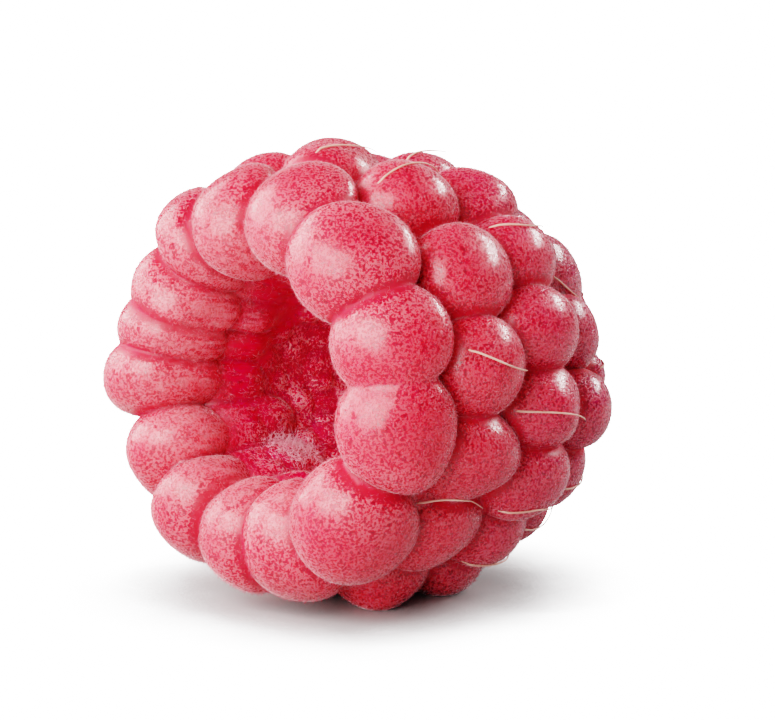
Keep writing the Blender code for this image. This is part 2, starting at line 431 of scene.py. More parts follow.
def with_relief(points):
    """The turned wall with its inner side, which is the profile's first part, moved by the relief."""
    radius, setback = np.hypot(points[:, 0], points[:, 1]), -points[:, 2]
    change = relief(radius, np.arctan2(points[:, 1], points[:, 0]), setback)
    inside = np.arange(len(points)) < (INNER_POINTS - 1) * WALL_STEPS
    scale = np.where(inside, 1 + change / np.maximum(radius, LEAST_RADIUS), 1.0)
    return points * scale[:, None] ** (1, 1, 0)


wall_points, wall_faces = turned(wall_profile(), WALL_STEPS)
wall_points = with_relief(wall_points) @ berry_turn.T + rest
print("wall:", len(wall_points), "points")

# %% [markdown]
# ## One skin
#
# The balls and the wall overlap, and a fruit has one skin. A Boolean union keeps only the outside of the
# whole lot, and leaves a true crease wherever two drupelets meet. It works on closed meshes, which the
# poles of every ball and of the wall make sure of. The helpers are thrown away, and the skin keeps a mesh
# of its own with its place in it.

# %% Unite the balls and the wall
def new_mesh(name, points, faces):
    """A smooth mesh object at the origin, from an array of points in metres and a list of faces."""
    mesh = bpy.data.meshes.new(name)
    mesh.from_pydata(points.tolist(), [], faces)
    mesh.polygons.foreach_set("use_smooth", np.ones(len(mesh.polygons), bool))
    mesh.update()
    made = bpy.data.objects.new(name, mesh)
    bpy.context.scene.collection.objects.link(made)
    return made


def union_of(core, others):
    """The evaluated union of a closed mesh with a collection of closed meshes, as a new mesh."""
    holder = bpy.data.collections.new("balls")
    bpy.context.scene.collection.children.link(holder)
    for item in others:
        holder.objects.link(item)
        bpy.context.scene.collection.objects.unlink(item)
    join = core.modifiers.new("join", "BOOLEAN")
    join.operation = "UNION"
    join.operand_type = "COLLECTION"
    join.collection = holder
    join.solver = "MANIFOLD"
    evaluated = core.evaluated_get(bpy.context.evaluated_depsgraph_get())
    joined = bpy.data.meshes.new_from_object(evaluated)
    for item in [*others, core]:
        bpy.data.objects.remove(item, do_unlink=True)
    bpy.data.collections.remove(holder)
    return joined


wall = new_mesh("wall", wall_points * MM, wall_faces)
helpers = [new_mesh(f"ball_{i}", points * MM, ball_faces) for i, points in enumerate(balls)]
skin_mesh = union_of(wall, helpers)
print("skin after the union:", len(skin_mesh.vertices), "points,", len(skin_mesh.polygons), "faces")

# %% [markdown]
# ## Softening the creases
#
# A Boolean leaves its creases as sharp as a cut. Flesh pressed against flesh rolls into its crease, so the
# points near one are relaxed: each moves towards the mean of its neighbours, by more the nearer it is. To
# know how near, every point asks every ball how far out of it the point lies. On the skin the nearest ball
# answers 1, and where the second nearest, of another drupelet, answers almost the same, there is a crease.
# Last, whatever sank below the ground is pressed flat on it.

# %% How near each point is to a crease
WALL_FROM = 1.0
WALL_MARGIN = 1.0
NEAR_CREASE = 0.3

# The pair that has grown into one and the ball between them count as one drupelet.
groups = np.arange(len(sites["row"]))
groups[[WAIST_BETWEEN[1], -1]] = WAIST_BETWEEN[0]


def in_berry_frame(points):
    """Distance from the axis, setback behind the rim row and angle round the axis, in mm and radians."""
    local = (points - rest) @ berry_turn
    return np.hypot(local[:, 0], local[:, 1]), -local[:, 2], np.arctan2(local[:, 1], local[:, 0])


def wall_gap(points):
    """How far points are from the hollow's wall, in mm, and endlessly far for those on the outside."""
    radius, setback, turn = in_berry_frame(points)
    inner = smooth_line(WALL_INNER, INNER_POINTS)
    wall_radius = np.interp(setback, inner[:, 1], inner[:, 0]) + relief(radius, turn, setback)
    past_the_wall = (setback < WALL_FROM) | (setback > inner[-1, 1] + WALL_MARGIN)
    outside = (radius > RIM_ROW.radius) | past_the_wall
    return np.where(outside, np.inf, np.abs(wall_radius - radius))


def distance_out(points, index):
    """How far points lie out of one ball: its turn, stretch, taper and bend undone, the length of what is
    left, which is 1 on the ball. The ball's smaller half width, in mm, comes with it."""
    site = {field: values[index] for field, values in sites.items()}
    x, y, z = ((points - places[index]) @ turns[index]).T
    full = np.where(x < 0, x / site["inner"], x) / site["through"]
    pole = np.sign(full) * np.abs(full) ** (1 / FULLNESS)
    y = y / (site["across"] * (1 + TAPER * (np.clip(pole, -1, 1) - 1)))
    z = (z + site["bend"] * x * x) / site["along"]
    return np.sqrt(pole**2 + y**2 + z**2), min(site["across"], site["along"])


def crease_gap(points):
    """For each point, how much nearer its own drupelet is than the next one or the wall, in mm, and which
    ball is its own."""
    nearest = np.full((len(points), groups.max() + 2), np.inf)
    nearest[:, -1] = wall_gap(points)
    own, least = np.zeros(len(points), int), np.full(len(points), np.inf)
    for index, group in enumerate(groups):
        out, size = distance_out(points, index)
        own[out < least] = index
        least = np.minimum(least, out)
        nearest[:, group] = np.minimum(nearest[:, group], (out - 1) * size)
    two = np.partition(nearest, 1, axis=1)
    return two[:, 1] - two[:, 0], own


def mesh_points(mesh):
    """A mesh's points as rows of x, y and z."""
    found = np.empty(len(mesh.vertices) * 3)
    mesh.vertices.foreach_get("co", found)
    return found.reshape(-1, 3)


skin_points = mesh_points(skin_mesh) / MM
gap, own = crease_gap(skin_points)
print("points near a crease:", int((gap < NEAR_CREASE).sum()), "of", len(gap))

# %% Relax the creases and press the bearing spots flat
SOFT_WIDTH = 0.12
WAIST_SOFT_REACH = 0.4
RELAX_STEPS, RELAX_SHARE = 5, 0.6


def relax(points, edges, weights, steps):
    """Moves each point by its weight towards the mean of its neighbours, several times."""
    count = np.bincount(edges.ravel(), minlength=len(points))[:, None]
    for _ in range(steps):
        sums = [
            np.bincount(edges[:, 0], points[edges[:, 1], axis], len(points))
            + np.bincount(edges[:, 1], points[edges[:, 0], axis], len(points))
            for axis in range(3)
        ]
        total = np.stack(sums, axis=1)
        points = points + weights[:, None] * (total / count - points)
    return points


edges = np.empty(len(skin_mesh.edges) * 2, int)
skin_mesh.edges.foreach_get("vertices", edges)
edges = edges.reshape(-1, 2)
waist_reach, _ = distance_out(skin_points, len(groups) - 1)
softness = np.clip(1 - gap / SOFT_WIDTH, 0, 1)
softness = np.maximum(softness, np.clip(1 - (waist_reach - 1) / WAIST_SOFT_REACH, 0, 1))
skin_points = relax(skin_points, edges, RELAX_SHARE * softness, RELAX_STEPS)
skin_points[:, 2] = np.maximum(skin_points[:, 2], 0.0)
skin_mesh.vertices.foreach_set("co", (skin_points * MM).ravel())
skin_mesh.polygons.foreach_set("use_smooth", np.ones(len(skin_mesh.polygons), bool))
skin_mesh.update()
print("flattened points:", int((skin_points[:, 2] == 0).sum()))

# %% [markdown]
# ## What the finish needs to know
#
# The colour of a raspberry follows its shape, so the shape is measured here once, and the material only
# mixes colours by the measures. Each is a number from 0 to 1, stored on the skin's points. The creases are
# the deepest red, a painted shade. On the outside the crown of each drupelet is the reddest, and the tip of
# the berry is bluer and darker, its darkening a painted shade. In the hollow a pale throat inside the rim
# gives way to a bare crimson band and then to the deep floor with its mounds. The band's edges are ragged,
# it lies further in on the high left, and it nearly dies out on the low left.

# %% Measures on the skin
CREASE_WIDTH = 0.55
CREASE_LESS_INSIDE, VALLEY_SHARE = 0.5, 0.7
INWARD, VALLEY = (0.5, 2.5), (0.75, 1.0)
CROWN, RIMWARD, TIPWARD = (0.8, 2.6), (-2.5, 2.0), (2.0, 15.0)
HOLLOW, THROAT = (-1.5, 4.0), (-0.5, 2.0)
CRIMSON_FROM, CRIMSON_TO = (-0.8, 2.4), (3.4, 5.4)
DEEP, DEEP_ON_LOW_LEFT = (3.6, 6.0), (1.5, 3.5)
HIGH_LEFT, LOW_LEFT = (140, 25), (-135, 42)
RAGGEDNESS, HIGH_LEFT_SHIFT, LOW_LEFT_LOSS = 0.8, 1.9, 0.9


def wall_side(radius, setback):
    """How much nearer points are to the wall's inner side than to its outer side, in mm."""
    here = np.stack([radius, setback], axis=1)[:, None, :]
    away = [np.sqrt(((here - smooth_line(side, OUTER_POINTS)) ** 2).sum(axis=2)).min(axis=1)
            for side in (WALL_OUTER, WALL_INNER)]
    return away[0] - away[1]


def near_angle(turn, degrees, width):
    """exp(-(a / width)^2) over the angle a away from these degrees round the axis."""
    away = (np.degrees(turn) - degrees + 180) % 360 - 180
    return np.exp(-((away / width) ** 2))


gap, own = crease_gap(skin_points)
radius, setback, turn = in_berry_frame(skin_points)
inward = smooth_step(*INWARD, wall_side(radius, setback))
across, _ = round_the_rim(turn)
valley = inward * ridge_share(setback) * smooth_step(*VALLEY, np.abs(across))
crease = (1 - CREASE_LESS_INSIDE * inward) * (1 - smooth_step(0.0, CREASE_WIDTH, gap))
high_left, low_left = near_angle(turn, *HIGH_LEFT), near_angle(turn, *LOW_LEFT)
ragged = setback + RAGGEDNESS * np.sin(5 * turn) * np.sin(2 * turn + 1) - HIGH_LEFT_SHIFT * high_left
crimson = inward * smooth_step(*CRIMSON_FROM, ragged) * (1 - smooth_step(*CRIMSON_TO, ragged))
deep = np.maximum(smooth_step(*DEEP, ragged), low_left * smooth_step(*DEEP_ON_LOW_LEFT, ragged))
measures = {
    "crease": np.maximum(crease, VALLEY_SHARE * valley),
    "crown": (1 - inward) * smooth_step(*CROWN, gap),
    "rimward": 1 - smooth_step(*RIMWARD, setback),
    "mound": inward * mounds(turn, setback),
    "hollow": inward * smooth_step(*HOLLOW, setback),
    "throat": inward * (1 - smooth_step(*THROAT, ragged)),
    "crimson": crimson * (1 - LOW_LEFT_LOSS * low_left),
    "deep": inward * deep,
    "tipward": smooth_step(*TIPWARD, setback) * (1 - inward),
    "tint": np.random.default_rng(SEED + 2).random(len(groups))[own],
}
for name, values in measures.items():
    layer = skin_mesh.attributes.new(name, "FLOAT", "POINT")
    layer.data.foreach_set("value", values.astype(np.float32))
    print(name, "mean", round(float(values.mean()), 3))
skin = bpy.data.objects.new("raspberry_skin", skin_mesh)
bpy.context.scene.collection.objects.link(skin)

# %% [markdown]
# ## Node groups
#
# Three effects are node groups with named sockets, each built once. A slow mottling breaks up any even
# colour, and every finish here uses it. The felt of fine down close to the skin and the streaks along the
# axis are the flesh's own, kept apart to keep its tree short. A group puts out only colours and masks. The
# shader itself stays in each material.

# %% Helpers for node trees
def set_inputs(tree, made, inputs):
    """Sets a node's inputs, by name or number, each to a value or to another node's output socket."""
    for key, value in inputs.items():
        if isinstance(value, bpy.types.NodeSocket):
            tree.links.new(value, made.inputs[key])
        else:
            made.inputs[key].default_value = value


def node(tree, kind, inputs=None, **settings):
    """Adds a node. Settings are its properties, such as its operation."""
    made = tree.nodes.new(kind)
    for key, value in settings.items():
        setattr(made, key, value)
    set_inputs(tree, made, inputs or {})
    return made


def mix_colors(tree, factor, first, second):
    """Factor 0 gives the first colour and 1 the second. Each is a colour or an output socket."""
    inputs = {0: factor, 6: first, 7: second}
    return node(tree, "ShaderNodeMix", inputs, data_type="RGBA").outputs[2]


def ramp(tree, value, low, high, to_low=0.0, to_high=1.0):
    """Maps a value from low..high to to_low..to_high smoothly, and holds it at the ends."""
    inputs = {"Value": value, "From Min": low, "From Max": high, "To Min": to_low, "To Max": to_high}
    return node(tree, "ShaderNodeMapRange", inputs, interpolation_type="SMOOTHSTEP").outputs["Result"]


def calculate(tree, operation, first, second):
    """The operation's result on two numbers or sockets."""
    return node(tree, "ShaderNodeMath", {0: first, 1: second}, operation=operation).outputs[0]


def times(tree, first, second):
    """first * second"""
    return calculate(tree, "MULTIPLY", first, second)


def plus(tree, first, second):
    """first + second"""
    return calculate(tree, "ADD", first, second)


def less(tree, first, second):
    """first - second"""
    return calculate(tree, "SUBTRACT", first, second)


def new_material(name):
    """A new material, its node tree and its shader."""
    material = bpy.data.materials.new(name)
    material.use_nodes = True
    return material, material.node_tree, material.node_tree.nodes["Principled BSDF"]


def new_group(name, inputs, outputs):
    """A node group with sockets made from (name, type, default) lists, and its input and output nodes."""
    tree = bpy.data.node_groups.new(name, "ShaderNodeTree")
    for label, kind, default in inputs:
        tree.interface.new_socket(label, in_out="INPUT", socket_type=kind).default_value = default
    for label, kind in outputs:
        tree.interface.new_socket(label, in_out="OUTPUT", socket_type=kind)
    return tree, node(tree, "NodeGroupInput"), node(tree, "NodeGroupOutput")


def object_noise(tree, scale, detail=2.0, roughness=0.5):
    """Noise on Object coordinates, which stay with the piece wherever it goes."""
    where = node(tree, "ShaderNodeTexCoord").outputs["Object"]
    inputs = {"Vector": where, "Scale": scale, "Detail": detail, "Roughness": roughness}
    return node(tree, "ShaderNodeTexNoise", inputs).outputs["Fac"]


print("node helpers ready")

# %% Group: mottling
PATCHES = (0.38, 0.66)


def build_mottling():
    """Mixes a second colour into the first in slow patches."""
    inputs = [
        ("Color", "NodeSocketColor", (1, 1, 1, 1)),
        ("Second", "NodeSocketColor", (0, 0, 0, 1)),
        ("Scale", "NodeSocketFloat", 500.0),
        ("Amount", "NodeSocketFloat", 0.5),
    ]
    tree, given, out = new_group("mottling", inputs, [("Color", "NodeSocketColor")])
    patches = ramp(tree, object_noise(tree, given.outputs["Scale"]), *PATCHES)
    share = times(tree, patches, given.outputs["Amount"])
    set_inputs(tree, out, {"Color": mix_colors(tree, share, given.outputs["Color"], given.outputs["Second"])})
    return tree


def mottled(tree, color, second, scale, amount):
    """The mottling group's colour in a material's tree, for its four inputs."""
    inputs = {"Color": color, "Second": second, "Scale": scale, "Amount": amount}
    return node(tree, "ShaderNodeGroup", inputs, node_tree=mottling).outputs["Color"]


mottling = build_mottling()
print("group", mottling.name)

# %% Group: close down
FINE_SHARE, COARSE_SHARE = 0.85, 0.15
COARSE_SCALE = 0.35
BARE_LEVEL, COVER_LOWERS = 0.72, 0.4
MASK_EDGE = (-0.02, 0.04)
# The pits carry painted shade between the hairs.
PIT_SHADE_EDGE = (-0.12, -0.02)


def build_close_down():
    """A felt of specks: fine noise with some coarser noise, where it is over a level that sinks with the
    cover. The gaps of the felt, where the noise is well under that level, are painted shade between the
    hairs."""
    inputs = [("Scale", "NodeSocketFloat", 8200.0), ("Cover", "NodeSocketFloat", 0.5)]
    outputs = [("Mask", "NodeSocketFloat"), ("PitShade", "NodeSocketFloat")]
    tree, given, out = new_group("close_down", inputs, outputs)
    fine = object_noise(tree, given.outputs["Scale"], 2.0, 0.6)
    coarse = object_noise(tree, times(tree, given.outputs["Scale"], COARSE_SCALE), 1.0, 0.5)
    both = plus(tree, times(tree, fine, FINE_SHARE), times(tree, coarse, COARSE_SHARE))
    level = less(tree, BARE_LEVEL, times(tree, given.outputs["Cover"], COVER_LOWERS))
    over = less(tree, both, level)
    mask, pit_shade = ramp(tree, over, *MASK_EDGE), ramp(tree, over, *PIT_SHADE_EDGE, 1.0, 0.0)
    set_inputs(tree, out, {"Mask": mask, "PitShade": pit_shade})
    return tree


close_down = build_close_down()
print("group", close_down.name)

# %% Group: streaks
STREAK_STRETCH = 10
STREAK_EDGE = (0.36, 0.66)


def build_streaks():
    """Fine stripes along the berry's axis: noise on coordinates turned to the axis and stretched along it."""
    inputs = [("Scale", "NodeSocketFloat", 3000.0)]
    tree, given, out = new_group("streaks", inputs, [("Mask", "NodeSocketFloat")])
    where = node(tree, "ShaderNodeTexCoord").outputs["Object"]
    lying = (math.radians(90 - TILT_DEG), 0, 0)
    inputs = {"Vector": where, "Rotation": lying, "Scale": (1, 1, STREAK_STRETCH)}
    along = node(tree, "ShaderNodeMapping", inputs, vector_type="TEXTURE").outputs["Vector"]
    inputs = {"Vector": along, "Scale": given.outputs["Scale"], "Detail": 2.0, "Roughness": 0.6}
    noise = node(tree, "ShaderNodeTexNoise", inputs).outputs["Fac"]
    set_inputs(tree, out, {"Mask": ramp(tree, noise, *STREAK_EDGE)})
    return tree


streaks = build_streaks()
print("group", streaks.name)

# %% [markdown]
# ## The flesh
#
# Ripe flesh is a red jelly in a thin skin: light enters, scatters for a millimetre or so and comes out
# redder, which is why the creases glow and never look black. That is subsurface scattering, longest for
# red. The skin over it is smooth enough to mirror a lamp softly. The felt of down lays a pale haze over it,
# heavier at the rim and off the crowns as a painted highlight in part, with dark pits between the hairs
# as painted shade, and leaves the creases and the crimson band of the hollow bare. Just inside the rim the
# wall is pale and streaked.

# %% Flesh material
FLESH_RED = (0.66, 0.003, 0.030, 1)
# The crease red is darker than the flesh: painted shade, and also the colour of the slow dark patches.
CREASE_SHADE_AND_PATCH_RED = (0.58, 0.001, 0.022, 1)
FLESH_HOLLOW = (0.66, 0.003, 0.068, 1)
# The tip's red is bluer and darker than the flesh; the darkening is painted shade.
TIP_BLUE_AND_SHADE = (0.38, 0.003, 0.068, 1)
FLESH_LIGHT = (0.80, 0.008, 0.038, 1)
# The pits' dark red is painted shade between the felt's hairs.
FLESH_PIT_SHADE = (0.16, 0.001, 0.010, 1)
# The down's pale colour, also used for a painted highlight towards the rim and off the crowns.
DOWN_HAZE_AND_HIGHLIGHT = (0.78, 0.24, 0.26, 1)
HOLLOW_HAZE = (0.82, 0.26, 0.28, 1)
SCATTER_MM = 1.4
SCATTER_BY_COLOUR = (1.0, 0.16, 0.20)
SHEEN_TINT = (1.0, 0.85, 0.86, 1)

TINT_SHARE, TIPWARD_SHARE = 0.35, 0.7
PATCH_SCALE, PATCH_SHARE = 650.0, 0.35
STREAK_SCALE, STREAK_MIDDLE, STREAK_PULL = 3600.0, 0.5, 0.7
FLUSHED = (0.35, 0.80, 0.0, 0.9)
FELT_COVER, PIT_SHADE_SHARE = 0.58, 0.75
HAZE_AND_HIGHLIGHT_BY_RIM = (0.22, 0.38)
HAZE_ON_MOUNDS, HAZE_IN_DEEP = 0.50, 0.50
HAZE_AND_HIGHLIGHT_KEPT_TO_CROWN = (1.25, 0.65)
THROAT_STREAKS = (0.20, 0.72)
GLOSS_TO_FELT, CREASE_DULLNESS = (0.17, 0.32), 0.50
BUMP_STRENGTH, BUMP_MM = 0.35, 0.03


def attribute(tree, name):
    """One of the skin's measures."""
    return node(tree, "ShaderNodeAttribute", attribute_name=name).outputs["Fac"]


def red_flesh(tree, crease):
    """The flesh without its down: each measure mixes its own red in, the crease and tip reds darker as
    painted shade, and slow patches break up the sum.
    """
    tone = mix_colors(tree, times(tree, attribute(tree, "tint"), TINT_SHARE), FLESH_RED, FLESH_LIGHT)
    # Painted shade in part: towards the tip the flesh turns to the bluer, darker tip red.
    tone = mix_colors(tree, times(tree, attribute(tree, "tipward"), TIPWARD_SHARE), tone, TIP_BLUE_AND_SHADE)
    # Painted shade: the creases are mixed to the darker crease red.
    tone = mix_colors(tree, crease, tone, CREASE_SHADE_AND_PATCH_RED)
    tone = mix_colors(tree, attribute(tree, "hollow"), tone, FLESH_HOLLOW)
    return mottled(tree, tone, CREASE_SHADE_AND_PATCH_RED, PATCH_SCALE, PATCH_SHARE)


def haze_and_highlight_strength(tree):
    """How pale the felt makes the flesh: more at the rim and less on crowns, partly as a painted highlight,
    and more on the mounds and deep inside.
    """
    # Painted highlight in part: the haze is raised towards the rim and lowered on the crowns.
    strength = ramp(tree, attribute(tree, "rimward"), 0.0, 1.0, *HAZE_AND_HIGHLIGHT_BY_RIM)
    strength = plus(tree, strength, times(tree, attribute(tree, "mound"), HAZE_ON_MOUNDS))
    strength = plus(tree, strength, times(tree, attribute(tree, "deep"), HAZE_IN_DEEP))
    return times(tree, strength, ramp(tree, attribute(tree, "crown"), 0.0, 1.0, *HAZE_AND_HIGHLIGHT_KEPT_TO_CROWN))


def flesh_material():
    """The red flesh, then the felt's dark gaps of painted shade and its pale cover, partly a painted
    highlight, which leave the creases and the crimson band bare, then the pale streaks of the throat."""
    material, tree, shader = new_material("flesh")
    crease = attribute(tree, "crease")
    stripes = node(tree, "ShaderNodeGroup", {"Scale": STREAK_SCALE}, node_tree=streaks).outputs["Mask"]
    pulled = times(tree, less(tree, STREAK_MIDDLE, stripes), STREAK_PULL)
    flushed = ramp(tree, plus(tree, attribute(tree, "crimson"), pulled), *FLUSHED)
    open_flesh = less(tree, 1.0, calculate(tree, "MAXIMUM", crease, flushed))
    inputs = {"Cover": times(tree, open_flesh, FELT_COVER)}
    felt = node(tree, "ShaderNodeGroup", inputs, node_tree=close_down).outputs
    pit_shade = times(tree, felt["PitShade"], times(tree, open_flesh, PIT_SHADE_SHARE))
    haze_and_highlight = times(tree, felt["Mask"], haze_and_highlight_strength(tree))
    shallow = times(tree, attribute(tree, "throat"), less(tree, 1.0, crease))
    pale = times(tree, shallow, ramp(tree, stripes, 0.0, 1.0, *THROAT_STREAKS))
    # Painted shade: the felt's pits darken the flesh between the hairs.
    tone = mix_colors(tree, pit_shade, red_flesh(tree, crease), FLESH_PIT_SHADE)
    # The pale haze, partly a painted highlight, is mixed over the flesh here.
    tone = mix_colors(tree, haze_and_highlight, tone, DOWN_HAZE_AND_HIGHLIGHT)
    gloss = ramp(tree, felt["Mask"], 0.0, 1.0, *GLOSS_TO_FELT)
    bump = {"Strength": BUMP_STRENGTH, "Distance": BUMP_MM * MM, "Height": felt["Mask"]}
    finish = {
        "Base Color": mix_colors(tree, pale, tone, HOLLOW_HAZE),
        "Roughness": plus(tree, gloss, times(tree, crease, CREASE_DULLNESS)),
        "Normal": node(tree, "ShaderNodeBump", bump).outputs["Normal"],
        "Subsurface Weight": 1.0,
        "Subsurface Radius": SCATTER_BY_COLOUR,
        "Subsurface Scale": SCATTER_MM * MM,
        "Sheen Weight": 0.9,
        "Sheen Roughness": 0.15,
        "Sheen Tint": SHEEN_TINT,
        "IOR": 1.5,
        "Specular IOR Level": 0.5,
    }
    set_inputs(tree, shader, finish)
    return material


skin_mesh.materials.clear()
skin_mesh.materials.append(flesh_material())
skin_mesh.polygons.foreach_set("material_index", np.zeros(len(skin_mesh.polygons), int))
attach(skin, "root")
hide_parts("raspberry")
print("flesh on", skin.name)

# %% [markdown]
# ## The down
#
# What makes a raspberry look velvety is real hair: short, pale and springing from every drupelet at all
# angles. Seen face on it is thin and lets the red through, and seen along the surface it piles up into a
# white edge. A shader can only hint at that, so the down is grown as mesh. Each hair is the simplest closed
# solid there is, a long thin tetrahedron of four triangles, so there can be tens of thousands. They thin
# out in the creases and on the crowns.

# %% Scatter roots over the skin
def triangles_of(mesh):
    """The corner points' numbers of a mesh's triangles, three a row."""
    mesh.calc_loop_triangles()
    corners = np.empty(len(mesh.loop_triangles) * 3, int)
    mesh.loop_triangles.foreach_get("vertices", corners)
    return corners.reshape(-1, 3)


def point_normals(points, corners):
    """Each point's normal: the sum of its triangles' normals, which weighs them by area."""
    a, b, c = (points[corners[:, i]] for i in range(3))
    face = np.cross(b - a, c - a)
    total = np.zeros_like(points)
    for axis in range(3):
        total[:, axis] = sum(np.bincount(corners[:, i], face[:, axis], len(points)) for i in range(3))
    return total / np.maximum(np.linalg.norm(total, axis=1), 1e-12)[:, None]


corners = triangles_of(skin_mesh)
normals = point_normals(skin_points, corners)
sides = [skin_points[corners[:, i]] - skin_points[corners[:, 0]] for i in (1, 2)]
areas = np.linalg.norm(np.cross(*sides), axis=1) / 2


def scatter(density, rng):
    """Random spots on the skin, as many a square mm as each triangle's density says, and their normals."""
    share = areas * density
    count = int(round(share.sum()))
    pick = rng.choice(len(areas), count, p=share / share.sum())
    b, c = rng.random((2, count, 1))
    b, c = np.where(b + c > 1, 1 - b, b), np.where(b + c > 1, 1 - c, c)
    weights = np.concatenate([1 - b - c, b, c], axis=1)[:, :, None]
    normal = (normals[corners[pick]] * weights).sum(axis=1)
    spots = (skin_points[corners[pick]] * weights).sum(axis=1)
    return spots, normal / np.linalg.norm(normal, axis=1)[:, None]


print("skin area, mm2:", round(float(areas.sum())))

# %% One hair, many times
HAIR_CORNERS = np.array([(0, 2, 1), (0, 1, 3), (1, 2, 3), (2, 0, 3)])
HAIR_IN_CELL = np.array([(0.2, 0.2), (0.8, 0.2), (0.5, 0.35), (0.5, 0.9)])
GROUND_CLEARANCE = 0.03


def unit(vectors):
    """v / |v|"""
    return vectors / np.linalg.norm(vectors, axis=-1, keepdims=True)


def hair_spikes(roots, normals, lengths, width, lean, rng):
    """Tetrahedra: a tip at root + length * (cos(lean) n + sin(lean) t), t any direction along the skin, and a
    base of three points at 120 degrees round the root, sunk under the skin by its own width."""
    sideways = rng.normal(size=roots.shape)
    along = unit(sideways - (sideways * normals).sum(axis=1, keepdims=True) * normals)
    direction = np.cos(lean)[:, None] * normals + np.sin(lean)[:, None] * along
    across = unit(np.cross(normals, along))
    other = np.cross(direction, across)
    spread = np.radians([0, 120, 240])
    base = [roots + width * (math.cos(a) * across + math.sin(a) * other) - width * normals for a in spread]
    points = np.stack([*base, roots + lengths[:, None] * direction], axis=1)
    faces = HAIR_CORNERS + 4 * np.arange(len(roots))[:, None, None]
    return points.reshape(-1, 3), faces.reshape(-1, 3)


def cell_map(mesh, count):
    """Gives each hair a cell of a square grid in its UV map, so that a baked picture has room for each."""
    columns = math.ceil(math.sqrt(count))
    cell = np.stack([np.arange(count) % columns, np.arange(count) // columns], axis=1)[:, None, :]
    place = ((cell + HAIR_IN_CELL) / columns).reshape(-1, 2)
    vertices = np.empty(len(mesh.loops), int)
    mesh.loops.foreach_get("vertex_index", vertices)
    layer = mesh.uv_layers.new(name="OFBake")
    layer.data.foreach_set("uv", place[vertices].ravel())


def add_piece(name, points, faces, material):
    """A finished piece of hairs or fibres from points in mm, kept just clear of the ground, and triangles."""
    points[:, 2] = np.maximum(points[:, 2], GROUND_CLEARANCE)
    piece = new_mesh(name, points * MM, faces.tolist())
    piece.data.materials.append(material)
    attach(piece, "root")
    return piece


print("triangles a hair:", len(HAIR_CORNERS))

# %% Materials of hairs and fibres
def hair_material(name, color, second, scale, amount, roughness):
    """Dry and dull, one colour mottled with a second."""
    material, tree, shader = new_material(name)
    spots = mottled(tree, color, second, scale, amount)
    set_inputs(tree, shader, {"Base Color": spots, "Roughness": roughness})
    return material


down = hair_material("down", (0.72, 0.22, 0.26, 1), (0.56, 0.08, 0.12, 1), 1500.0, 0.8, 0.55)
dried = hair_material("dried_style", (0.78, 0.42, 0.34, 1), (0.62, 0.25, 0.20, 1), 900.0, 0.7, 0.45)
pith = hair_material("pith", (0.76, 0.34, 0.39, 1), (0.68, 0.18, 0.24, 1), 900.0, 0.7, 0.45)
print("materials:", down.name, dried.name, pith.name)

# %% Grow the down, region by region
DOWN_WIDTH = 0.011
DOWN_LEAN_DEG = (45, 85)
SHORT, LONG = (0.08, 0.26), (0.12, 0.45)
BARE_LOSS, CROWN_LOSS = 0.85, 0.45
NEAR_GROUND = 0.15

on_faces = {name: values[corners].mean(axis=1) for name, values in measures.items()}
row = sites["row"][own][corners].max(axis=1)
outside = on_faces["hollow"] < 0.5
off_ground = skin_points[corners, 2].max(axis=1) >= NEAR_GROUND
left_where_bare = 1 - BARE_LOSS * np.maximum(on_faces["crease"], on_faces["crimson"])
left_on_crowns = 1 - CROWN_LOSS * on_faces["crown"]

down_regions = {
    "rim_down": ((row <= 0) & outside, 50.0, SHORT),
    "shoulder_down": ((row == 1) & outside, 50.0, SHORT),
    "flank_down": ((row == 2) & outside, 50.0, SHORT),
    "tip_down": ((row >= 3) & outside, 46.0, SHORT),
    "hollow_down": (~outside, 44.0, LONG),
}


def grow_down(name, here, density, lengths, rng):
    """One region's down, on the triangles that are here and off the ground, thinned where it is left thin."""
    share = density * left_where_bare * left_on_crowns
    roots, normal = scatter(np.where(here & off_ground, share, 0.0), rng)
    lengths = rng.uniform(*lengths, len(roots))
    lean = np.radians(rng.uniform(*DOWN_LEAN_DEG, len(roots)))
    points, faces = hair_spikes(roots, normal, lengths, DOWN_WIDTH, lean, rng)
    piece = add_piece(name, points, faces, down)
    cell_map(piece.data, len(roots))
    print(name, len(roots), "hairs,", len(faces), "triangles")


hair_rng = np.random.default_rng(SEED + 3)
for name, (here, density, lengths) in down_regions.items():
    grow_down(name, here, density, lengths, hair_rng)

# %% [markdown]
# ## Dried styles
#
# Every drupelet began as one ovary of the flower, and each ovary had a style, the thread that the pollen
# grew down. Many are still there on the ripe fruit, dried to pale bristles that lie along it, each across
# its drupelet's front from the rim side towards the tip. A style is a profile, a small circle, carried along
# a path. The path is found by casting rays at the skin and is then pulled taut, so it lies on the curve and
# only its free end lifts off.

# %% Tubes along many paths at once
OFF_EVERY_PATH = (0.31, 0.42, 0.85)


